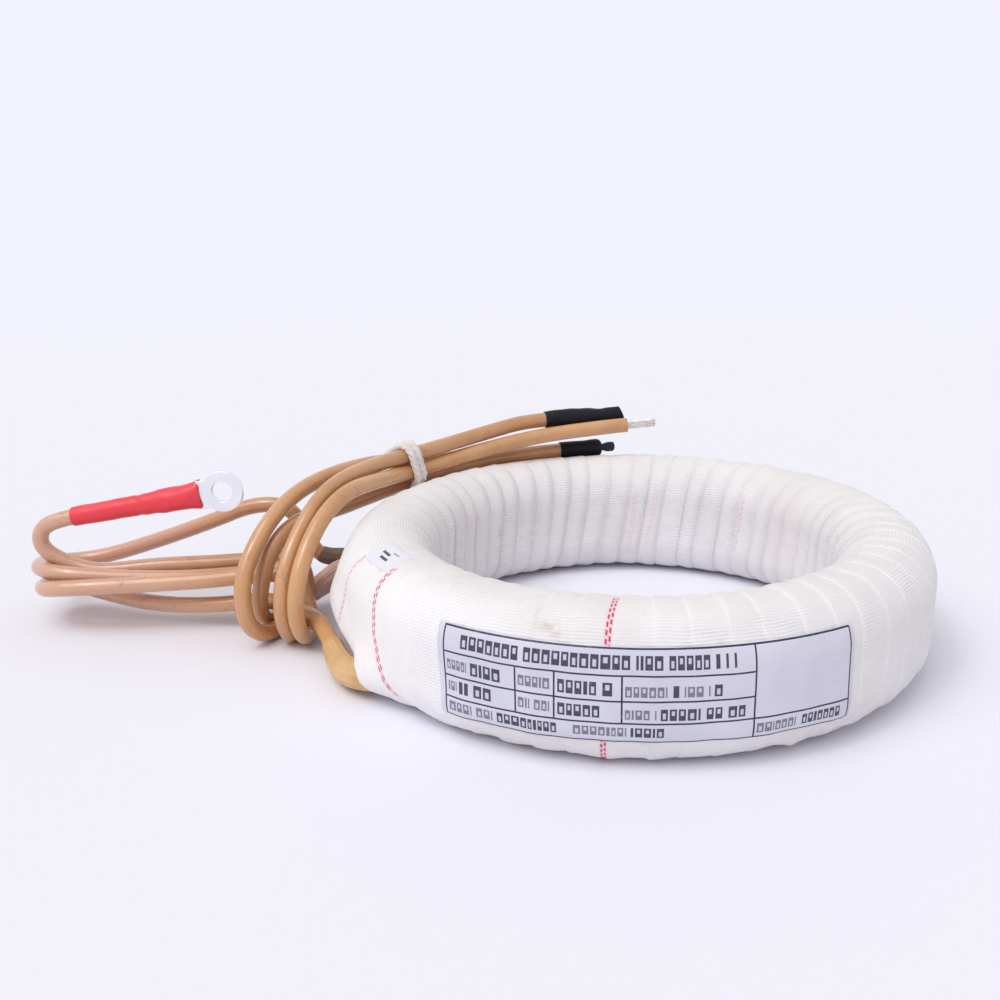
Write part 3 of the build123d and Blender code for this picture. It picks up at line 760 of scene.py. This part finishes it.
def tie_line(turns, per_turn):
    """Turns of a line rolled round the four leads, moving along them by about a cord's width in each turn."""
    edges = np.roll(TIE_CORNERS, -1, axis=0) - TIE_CORNERS
    facing = np.unwrap(np.arctan2(-edges[:, 0], edges[:, 1]))
    before = np.roll(facing, 1)
    before[0] -= TURN
    spans = np.stack([TIE_REACH * (facing - before), np.linalg.norm(edges, axis=1)], axis=1)
    ends = np.concatenate([[0], np.cumsum(spans)])
    centres = np.vstack([np.repeat(TIE_CORNERS, 2, axis=0), TIE_CORNERS[:1]])
    angles = np.append(np.stack([before, facing], axis=1), facing[-1])
    t = np.linspace(0, turns, turns * per_turn)
    x, y, _ = rolled((t % 1) * ends[-1], ends, centres, np.full(len(ends), TIE_REACH), angles)
    lift = (t - turns / 2) * TIE_STEP
    beside = unit(np.cross(TIE_ALONG, (0, 0, 1.0)))
    upright = np.cross(beside, TIE_ALONG)
    return TIE_CENTRE + x[:, None] * beside + y[:, None] * upright + lift[:, None] * TIE_ALONG


def soft_cord(middle, size, upward):
    """A twisted soft cord along a line: three lobes that turn as it goes on, closing to a blunt end."""
    steps = np.linalg.norm(np.diff(middle, axis=0), axis=1)
    length = np.concatenate([[0], np.cumsum(steps)])[:, None]
    angle = round_angles(24)
    end = np.minimum(length, length[-1] - length)
    blunt = np.sqrt(np.clip(1 - np.clip(1 - end / size, 0, 1) ** 2, 0.02, 1))
    lobes = 1 + 0.11 * np.cos(3 * (angle - TIE_TWIST * length)) + 0.03 * np.sin(5 * angle + 3 * length)
    return tube_along(middle, size * lobes * blunt, upward)


def tie_cord(finish):
    """The cotton tie: two turns side by side round the leads, and a loose tail laid back over the ring."""
    turns = soft_cord(tie_line(2, 110), TIE_D / 2, TIE_ALONG)
    piece = tube_piece("tie_cord_turns", turns, finish, "tie_cotton", "tie_cord")
    t = np.linspace(0, 1, 60)[:, None]
    middle = sum(math.comb(4, k) * t ** k * (1 - t) ** (4 - k) * TAIL_CORNERS[k] for k in range(5))
    tail = soft_cord(middle, TAIL_REACH, TAIL_UPWARD)
    return piece, tube_piece("tie_cord_tail", tail, finish, "tie_cotton")


# ---- node groups

def new_group(name, inputs, outputs):
    """An empty shader group with sockets given as (label, kind, first value), and its two ends."""
    group = bpy.data.node_groups.new(name, "ShaderNodeTree")
    for direction, sockets in (("INPUT", inputs), ("OUTPUT", outputs)):
        for label, kind, *value in sockets:
            socket = group.interface.new_socket(label, in_out=direction, socket_type="NodeSocket" + kind)
            if value:
                socket.default_value = value[0]
    return Nodes(group), group.nodes.new("NodeGroupInput").outputs, group.nodes.new("NodeGroupOutput").inputs


class Nodes:
    """Adds nodes to one tree: each call gives back a socket that comes out, or all of them."""

    def __init__(self, tree):
        self.tree = tree

    def put(self, socket, value):
        if isinstance(value, bpy.types.NodeSocket):
            self.tree.links.new(value, socket)
        else:
            socket.default_value = (*value, 1) if socket.type == "RGBA" else value

    def add(self, kind, inputs=(), output=0, **settings):
        node = self.tree.nodes.new("ShaderNode" + kind)
        for key, value in settings.items():
            setattr(node, key, value)
        for key, value in dict(inputs).items():
            self.put(node.inputs[key], value)
        return node.outputs[output]

    def maths(self, operation, *values):
        return self.add("Math", enumerate(values), operation=operation)

    def times(self, first, second):
        return self.maths("MULTIPLY", first, second)

    def apart(self, first, second):
        return self.maths("ABSOLUTE", self.maths("SUBTRACT", first, second))

    def blend(self, share, first, second):
        return self.add("Mix", {0: share, 6: first, 7: second}, output=2, data_type="RGBA")

    def multiplied(self, share, first, second):
        return self.add("MixRGB", {0: share, 1: first, 2: second}, blend_type="MULTIPLY")

    def between(self, value, low, high, to_low=0, to_high=1):
        inputs = {"Value": value, "From Min": low, "From Max": high, "To Min": to_low, "To Max": to_high}
        return self.add("MapRange", inputs, interpolation_type="SMOOTHSTEP")

    def noise(self, vector, scale, detail=2, roughness=0.5):
        inputs = {"Vector": vector, "Scale": scale, "Detail": detail, "Roughness": roughness}
        return self.add("TexNoise", inputs)

    def mark(self, name):
        return self.add("Attribute", output=2, attribute_name=name)

    def split(self, vector):
        return self.add("SeparateXYZ", {0: vector}).node.outputs

    def group(self, tree, inputs):
        return self.add("Group", inputs, node_tree=tree).node.outputs

    def mottled(self, place, scale, light, dark, sharpness=0.2):
        inputs = {"Place": place, "Scale": scale, "Light": light, "Dark": dark, "Sharpness": sharpness}
        return self.group(MOTTLING, inputs)

    def streaked(self, place, stretch):
        return self.group(STREAKS, {"Place": place, "Stretch": stretch})["Value"]


def mottling_group():
    """Two soft scales of unevenness in a colour, with the lighter and darker places as a value."""
    n, given, made = new_group(
        "soft_mottling",
        [("Place", "Vector"), ("Scale", "Float", 60), ("Light", "Color"), ("Dark", "Color"),
         ("Sharpness", "Float", 0.2)],
        [("Color", "Color"), ("Value", "Float")])
    broad = n.noise(given["Place"], given["Scale"])
    fine = n.noise(given["Place"], n.times(given["Scale"], 5.3), 3, 0.6)
    mixed = n.maths("ADD", n.times(broad, 0.7), n.times(fine, 0.3))
    low = n.maths("SUBTRACT", 0.5, given["Sharpness"])
    high = n.maths("ADD", 0.5, given["Sharpness"])
    value = n.between(mixed, low, high)
    n.put(made["Color"], n.blend(value, given["Dark"], given["Light"]))
    n.put(made["Value"], value)
    return n.tree


def weave_group():
    """A plain weave in mm: ribs across the tape and threads along it as a painted shade, with fuzz as a
    height.
    """
    n, given, made = new_group(
        "cotton_weave",
        [("Weave Place", "Vector"), ("Place", "Vector"), ("Rib Pitch", "Float", 0.7),
         ("Thread Pitch", "Float", 0.55), ("Fuzz", "Float", 0.35)],
        [("Height", "Float"), ("Shade", "Float")])
    waver = n.noise(given["Place"], 170)
    split = n.split(given["Weave Place"])
    along = n.maths("ADD", split[0], n.times(waver, 0.9))
    across = n.maths("ADD", split[1], n.times(waver, 0.5))
    rib = n.maths("SINE", n.maths("DIVIDE", n.times(along, TURN), given["Rib Pitch"]))
    thread = n.maths("SINE", n.maths("DIVIDE", n.times(across, TURN), given["Thread Pitch"]))
    crossed = n.times(rib, n.maths("MULTIPLY_ADD", thread, 0.35, 0.65))
    patchy = n.between(n.noise(given["Place"], 70, 3), 0.36, 0.62, 0.15)
    fuzz = n.noise(given["Place"], 2600, 2, 0.7)
    weave = n.times(n.maths("MULTIPLY_ADD", crossed, 0.5, 0.5), patchy)
    n.put(made["Height"], n.maths("MULTIPLY_ADD", fuzz, given["Fuzz"], weave))
    n.put(made["Shade"], weave)
    return n.tree


def stitch_group():
    """Two rows of slanted dashes beside a tracer's middle, with a faint blush of the thread round them."""
    n, given, made = new_group(
        "tracer_stitches",
        [("Along", "Float"), ("Across", "Float"), ("Strength", "Float")],
        [("Thread", "Float"), ("Blush", "Float")])
    pitch = 1.7
    rows = []
    for side, lead in ((-0.34, 0), (0.34, pitch / 2)):
        off = n.apart(given["Across"], side)
        slanted = n.maths("MULTIPLY_ADD", given["Across"], 0.5, n.maths("ADD", given["Along"], lead))
        phase = n.maths("FRACT", n.maths("DIVIDE", slanted, pitch))
        dash = n.between(n.apart(phase, 0.5), 0.36, 0.27)
        rows.append(n.times(dash, n.between(off, 0.27, 0.13)))
    blush = n.between(n.maths("ABSOLUTE", given["Across"]), 1.25, 0.3)
    n.put(made["Thread"], n.times(n.maths("MAXIMUM", *rows), given["Strength"]))
    n.put(made["Blush"], n.times(blush, given["Strength"]))
    return n.tree


def streak_group():
    """Fine streaks along one direction of a surface: a noise pressed flat along it, as a value."""
    n, given, made = new_group(
        "drawn_streaks",
        [("Place", "Vector"), ("Stretch", "Vector", (60, 900, 60))],
        [("Value", "Float")])
    pressed = n.add("VectorMath", {0: given["Place"], 1: given["Stretch"]}, operation="MULTIPLY")
    n.put(made["Value"], n.noise(pressed, 1, 4, 0.6))
    return n.tree


MOTTLING, WEAVE, STITCHES, STREAKS = mottling_group(), weave_group(), stitch_group(), streak_group()


# ---- finishes

def new_finish(name, **settings):
    """A material with a Principled surface whose even values sit on its own sockets."""
    material = bpy.data.materials.new(name)
    material.use_nodes = True
    n = Nodes(material.node_tree)
    sockets = n.tree.nodes["Principled BSDF"].inputs
    for label, value in settings.items():
        n.put(sockets[label.replace("_", " ").title().replace("Ior", "IOR")], value)
    return material, n, sockets, n.add("TexCoord", output="Object")


def bumped(n, sockets, height, distance, strength=1):
    """Raises a finish's surface by a height from nought to one, times a distance in mm."""
    inputs = {"Height": height, "Distance": distance * MM, "Strength": strength}
    n.put(sockets["Normal"], n.add("Bump", inputs))


def cotton_tape_finish():
    """Woven ribs with painted shade in their troughs, soft greys, painted shade by the pleats down the
    window's wall, soiled places and tracer threads.
    """
    material, n, sockets, place = new_finish("white_cotton_tape", roughness=0.88, sheen_weight=0.25,
                                             sheen_roughness=0.5, specular_ior_level=0.25)
    woven = n.add("UVMap", uv_map="tape_weave")
    weave = n.group(WEAVE, {"Weave Place": woven, "Place": place, "Rib Pitch": 0.7, "Thread Pitch": 0.6,
                            "Fuzz": 0.3})
    base = n.mottled(place, 55, (0.945, 0.935, 0.965), (0.9, 0.885, 0.91), 0.16)["Color"]
    dusk = n.mottled(place, 17, (1, 1, 1), (0.985, 0.97, 0.955), 0.12)["Color"]
    toned = n.multiplied(1, base, dusk)
    # painted shade: the colour darkens in the troughs between the woven ribs, as far as rib_strength lets it
    painted_trough_shade = n.multiplied(1, toned, (0.88, 0.86, 0.86))
    ribs = n.mark("rib_strength")
    crests = n.maths("MULTIPLY_ADD", ribs, n.maths("SUBTRACT", weave["Shade"], 1), 1)
    ribbed = n.blend(crests, painted_trough_shade, toned)
    # painted shade: the tape darkens beside each pleat down the window's wall
    pleated = n.multiplied(n.mark("painted_pleat_shade"), ribbed, (0.83, 0.8, 0.815))
    soil = n.times(n.mark("soil"), n.between(n.noise(place, 520, 3), 0.34, 0.62))
    soiled = n.multiplied(soil, pleated, (0.72, 0.56, 0.46))
    tracer = n.group(STITCHES, {"Along": n.split(woven)[0], "Across": n.mark("tracer_across"),
                                "Strength": n.mark("tracer_strength")})
    blushed = n.blend(n.times(tracer["Blush"], 0.42), soiled, (0.88, 0.46, 0.55))
    n.put(sockets["Base Color"], n.blend(tracer["Thread"], blushed, (0.6, 0.055, 0.13)))
    bumped(n, sockets, weave["Height"], 0.17, n.times(ribs, 0.9))
    return material


def paper_finish(name, light, dark):
    """Smooth paper, faintly uneven, with a worn dark ink where the print lies."""
    material, n, sockets, place = new_finish(name, roughness=0.42, specular_ior_level=0.4)
    base = n.mottled(place, 80, light, dark)["Color"]
    ink = n.mark("ink")
    worn = n.between(n.noise(place, 900), 0.2, 0.45, 0.88)
    n.put(sockets["Base Color"], n.blend(n.times(ink, worn), base, (0.028, 0.026, 0.065)))
    bumped(n, sockets, n.noise(place, 420, 4), 0.03, 0.6)
    return material


def insulation_finish(name, light, dark):
    """Glossy clear-coated insulation: its tone drifts, and pales at the ends of the loops, with cracks."""
    material, n, sockets, place = new_finish(name, coat_roughness=0.12, subsurface_weight=0.1,
                                             subsurface_scale=0.004)
    tone = n.mottled(place, 32, light, dark, 0.24)
    wandering = n.maths("MULTIPLY_ADD", tone["Value"], 0.012, n.split(place)[0])
    paling = n.between(wandering, -0.082, -0.125, 0, 0.62)
    paled = n.blend(paling, tone["Color"], (0.68, 0.405, 0.32))
    speckle = n.between(n.noise(place, 700, 3), 0.62, 0.75)
    marked = n.blend(n.times(speckle, 0.08), paled, (0.78, 0.55, 0.38))
    crack = n.between(n.apart(n.noise(place, 360, 3), 0.5), 0.016, 0.004)
    crazed = n.times(crack, n.between(n.noise(place, 130), 0.58, 0.68, 0, 0.5))
    n.put(sockets["Base Color"], n.blend(crazed, marked, (0.2, 0.10, 0.055)))
    n.put(sockets["Coat Weight"], n.between(tone["Value"], 0, 1, 0.55, 0.85))
    n.put(sockets["Roughness"], n.between(n.noise(place, 260, 3), 0.3, 0.7, 0.26, 0.42))
    bumped(n, sockets, n.noise(place, 330, 3), 0.028, 0.4)
    return material


def sleeving_finish(name, light, dark):
    """Varnished woven sleeving, with its threads running lengthwise and painted light on the crests of the
    weave.
    """
    material, n, sockets, place = new_finish(name, roughness=0.5, coat_weight=0.15, coat_roughness=0.3,
                                             subsurface_weight=0.15, subsurface_scale=0.004)
    mapped = n.add("UVMap", uv_map="sleeving")
    turned = n.add("Mapping", {"Vector": mapped, "Rotation": (0, 0, math.pi / 2)})
    weave = n.group(WEAVE, {"Weave Place": turned, "Place": place, "Rib Pitch": 0.62, "Thread Pitch": 1.1,
                            "Fuzz": 0.4})
    base = n.mottled(place, 90, light, dark, 0.14)["Color"]
    # painted light: the colour turns to the light tone on the crests of the weave
    n.put(sockets["Base Color"], n.blend(n.times(weave["Shade"], 0.5), base, light))
    bumped(n, sockets, weave["Height"], 0.16)
    return material


def streaked_finish(name, light, dark, scale, sharpness, stretch, rough, depth, strength, **settings):
    """A mottled finish with marks that run one way; rough holds its least and greatest roughness."""
    material, n, sockets, place = new_finish(name, **settings)
    n.put(sockets["Base Color"], n.mottled(place, scale, light, dark, sharpness)["Color"])
    streaks = n.streaked(place, stretch)
    if rough:
        n.put(sockets["Roughness"], n.between(streaks, 0.3, 0.7, *rough))
    bumped(n, sockets, streaks, depth, strength)
    return material


def shrink_finish(name, light, dark, **settings):
    """Heat-shrunk tube: satin, with faint drawn lines and rubbed patches."""
    stretch = (50, 900, 900)
    return streaked_finish(name, light, dark, 110, 0.18, stretch, (0.36, 0.52), 0.05, 0.6, **settings)


def tinned_finish(name, light, dark, roughness):
    """Bright tin plate: drawn marks, and small dull patches."""
    stretch, rough = (120, 1400, 1400), (roughness, roughness + 0.16)
    return streaked_finish(name, light, dark, 240, 0.2, stretch, rough, 0.03, 0.5, metallic=1)


def inner_finish(name, light, dark, scale, stretch, depth, **settings):
    """A finish for a layer inside the tape: its own tones, with marks that run one way."""
    return streaked_finish(name, light, dark, scale, 0.2, stretch, None, depth, 0.8, **settings)


def cotton_cord_finish():
    """Soft undyed cotton, fuzzy all over."""
    material, n, sockets, place = new_finish("soft_cotton_cord", roughness=0.9, sheen_weight=0.4,
                                             sheen_roughness=0.5, specular_ior_level=0.2)
    tone = n.mottled(place, 200, (0.87, 0.82, 0.81), (0.75, 0.68, 0.665))
    n.put(sockets["Base Color"], tone["Color"])
    bumped(n, sockets, n.noise(place, 1500, 3, 0.7), 0.18, 0.9)
    return material


# ---- the floor and the light

PAGE = (0.888, 0.888, 0.975)
FLOOR_TONE = (0.848, 0.848, 0.93)


def seen_directly(n):
    """One where the camera or a reflection looks, nought for rays that only carry light."""
    path = n.add("LightPath").node.outputs
    indirect = n.maths("MAXIMUM", path["Is Glossy Ray"], path["Is Transmission Ray"])
    return n.maths("MAXIMUM", path["Is Camera Ray"], indirect)


def studio_floor():
    """A wide pale floor that keeps the object's shadow and turns into the background further out."""
    half_width, depth = 3500, 0.06
    x, y = np.meshgrid(*2 * [half_width * np.linspace(-1, 1, 25)])
    mesh = grid_mesh("studio_floor", np.stack([x, y, np.full(x.shape, -depth)], axis=-1))
    material, n, _, place = new_finish("studio_floor", base_color=FLOOR_TONE, roughness=0.9,
                                       specular_ior_level=0.1)
    away = n.add("VectorMath", {0: place}, output=1, operation="LENGTH")
    share = n.times(n.between(away, 0.35, 1.1), seen_directly(n))
    lit = n.tree.nodes["Principled BSDF"].outputs[0]
    page = n.add("Emission", {"Color": PAGE, "Strength": 1})
    n.put(n.tree.nodes["Material Output"].inputs[0], n.add("MixShader", {0: share, 1: lit, 2: page}))
    mesh.materials.append(material)
    floor = linked("studio_floor", mesh)


def studio_world(level):
    """An even soft light all round, with the page's colour where the camera or a reflection sees it."""
    world = bpy.data.worlds.new("studio")
    world.use_nodes = True
    SCENE.world = world
    n = Nodes(world.node_tree)
    n.tree.nodes.clear()
    light = n.add("Background", {"Color": (1, 0.99, 0.98), "Strength": level})
    page = n.add("Background", {"Color": PAGE, "Strength": 1})
    mixed = n.add("MixShader", {0: seen_directly(n), 1: light, 2: page})
    n.put(n.tree.nodes.new("ShaderNodeOutputWorld").inputs[0], mixed)


def soft_sun(name, pitch, turn, strength, spread):
    """A broad soft lamp shining down at a pitch from upright, from a side given by its turn."""
    data = bpy.data.lights.new(name, "SUN")
    data.energy = strength
    data.angle = math.radians(spread)
    linked(name, data).rotation_euler = (math.radians(pitch), 0, math.radians(turn))


# ---- dressing the object

#        the insulation's name, light and dark tones, then the sleeving's
LEAD_LOOKS = {
    "red": ("tan_insulation", (0.66, 0.35, 0.15), (0.51, 0.235, 0.095),
            "amber_sleeving", (0.6, 0.42, 0.26), (0.48, 0.3, 0.17)),
    # the upper sleeving's very dark brown is partly its own colour and partly painted shade of the shaded
    # place where it leaves the ring
    "upper": ("pink_tan_insulation", (0.63, 0.335, 0.15), (0.49, 0.235, 0.1),
              "umber_and_painted_shade_sleeving", (0.155, 0.09, 0.055), (0.085, 0.045, 0.026)),
    "bare": ("amber_insulation", (0.66, 0.36, 0.155), (0.51, 0.245, 0.095),
             "golden_sleeving", (0.72, 0.46, 0.22), (0.58, 0.33, 0.13)),
    # the lower lead's tones are the leads' tan darkened by painted shade, for where it runs shaded under the
    # other leads
    "lower": ("painted_shade_tan_insulation", (0.58, 0.295, 0.13), (0.43, 0.195, 0.082),
              "pink_sleeving", (0.73, 0.53, 0.45), (0.6, 0.39, 0.31)),
}
TAPE_FINISH = cotton_tape_finish()
LABEL_FINISH = paper_finish("label_paper", (0.7, 0.69, 0.8), (0.64, 0.63, 0.745))
STICKER_FINISH = paper_finish("sticker_paper", (0.8, 0.8, 0.87), (0.755, 0.75, 0.82))
RED_FINISH = shrink_finish("red_shrink_tube", (0.88, 0.05, 0.075), (0.79, 0.036, 0.056),
                           subsurface_weight=0.1, subsurface_scale=0.003, coat_weight=0.12,
                           coat_roughness=0.25)
BLACK_FINISH = shrink_finish("black_shrink_tube", (0.016, 0.0155, 0.023), (0.010, 0.0098, 0.015),
                             specular_ior_level=0.16)
LUG_FINISH = tinned_finish("tin_plate", (0.93, 0.93, 0.96), (0.86, 0.86, 0.89), 0.24)
STRAND_FINISH = tinned_finish("tinned_strands", (0.84, 0.8, 0.77), (0.66, 0.61, 0.58), 0.2)
# the blade's metal is given a very dark blue-grey
BLADE_FINISH = tinned_finish("dark_blade_metal", (0.075, 0.08, 0.10), (0.04, 0.042, 0.055), 0.4)
TIE_FINISH = cotton_cord_finish()

leads = {name: lead_piece(name, insulation_finish(*LEAD_LOOKS[name][:3])) for name in ROUTES}
tape_surface(TAPE_FINISH)
rating_label(LABEL_FINISH)
number_sticker(STICKER_FINISH)
sleevings = {name: exit_sleeve(name, sleeving_finish(*LEAD_LOOKS[name][3:])) for name in ROUTES}
red_ends = [end_sleeve("red", RED_FINISH), ring_lug(LUG_FINISH), lug_barrel(LUG_FINISH)]
upper_end = end_sleeve("upper", BLACK_FINISH)
lower_ends = [end_sleeve("lower", BLACK_FINISH), lower_tongue(BLADE_FINISH)]
strands = bare_strands(STRAND_FINISH)
tie, tie_tail = tie_cord(TIE_FINISH)

for name, lead in leads.items():
    lead_line(name)[1][-1] * MM

#    light and dark tones, scale of the mottling, stretch of its marks, their depth in mm, its other settings
MOULDING = (0.11, 0.11, 0.12), (0.08, 0.08, 0.09), 150, (1500, 1500, 1500), 0.05, {"roughness": 0.5}
INNER_LAYERS = {
    "winding_film": ("polyester_film", (0.86, 0.83, 0.68), (0.78, 0.74, 0.58), 40, (80, 80, 500),
                     0.02, {"roughness": 0.2, "coat_weight": 0.5}),
    "secondary_winding": ("enamelled_wire", (0.62, 0.27, 0.09), (0.46, 0.18, 0.06), 120,
                          (500, 500, 60), 0.03, {"roughness": 0.25, "coat_weight": 0.6}),
    "core_wrap": ("inner_wrap", (0.76, 0.73, 0.63), (0.68, 0.64, 0.54), 60, (900, 900, 900), 0.1,
                  {"roughness": 0.8}),
    "top_core_cap": ("top_cap_moulding", *MOULDING),
    "bottom_core_cap": ("bottom_cap_moulding", *MOULDING),
    "strip_core": ("strip_steel", (0.46, 0.47, 0.49), (0.38, 0.39, 0.41), 90, (2500, 2500, 30), 0.05,
                   {"roughness": 0.32, "metallic": 1}),
}
inner_finishes = {node: inner_finish(*look, **rest) for node, (*look, rest) in INNER_LAYERS.items()}
for node, finish in {**inner_finishes, "red_conductor": STRAND_FINISH}.items():
    materials = bpy.data.objects[node].data.materials
    materials.clear()
    materials.append(finish)

studio_floor()
studio_world(0.62)
soft_sun("key", 31, -48, 1.3, 50)
soft_sun("glint", 34, -50, 0.28, 12)
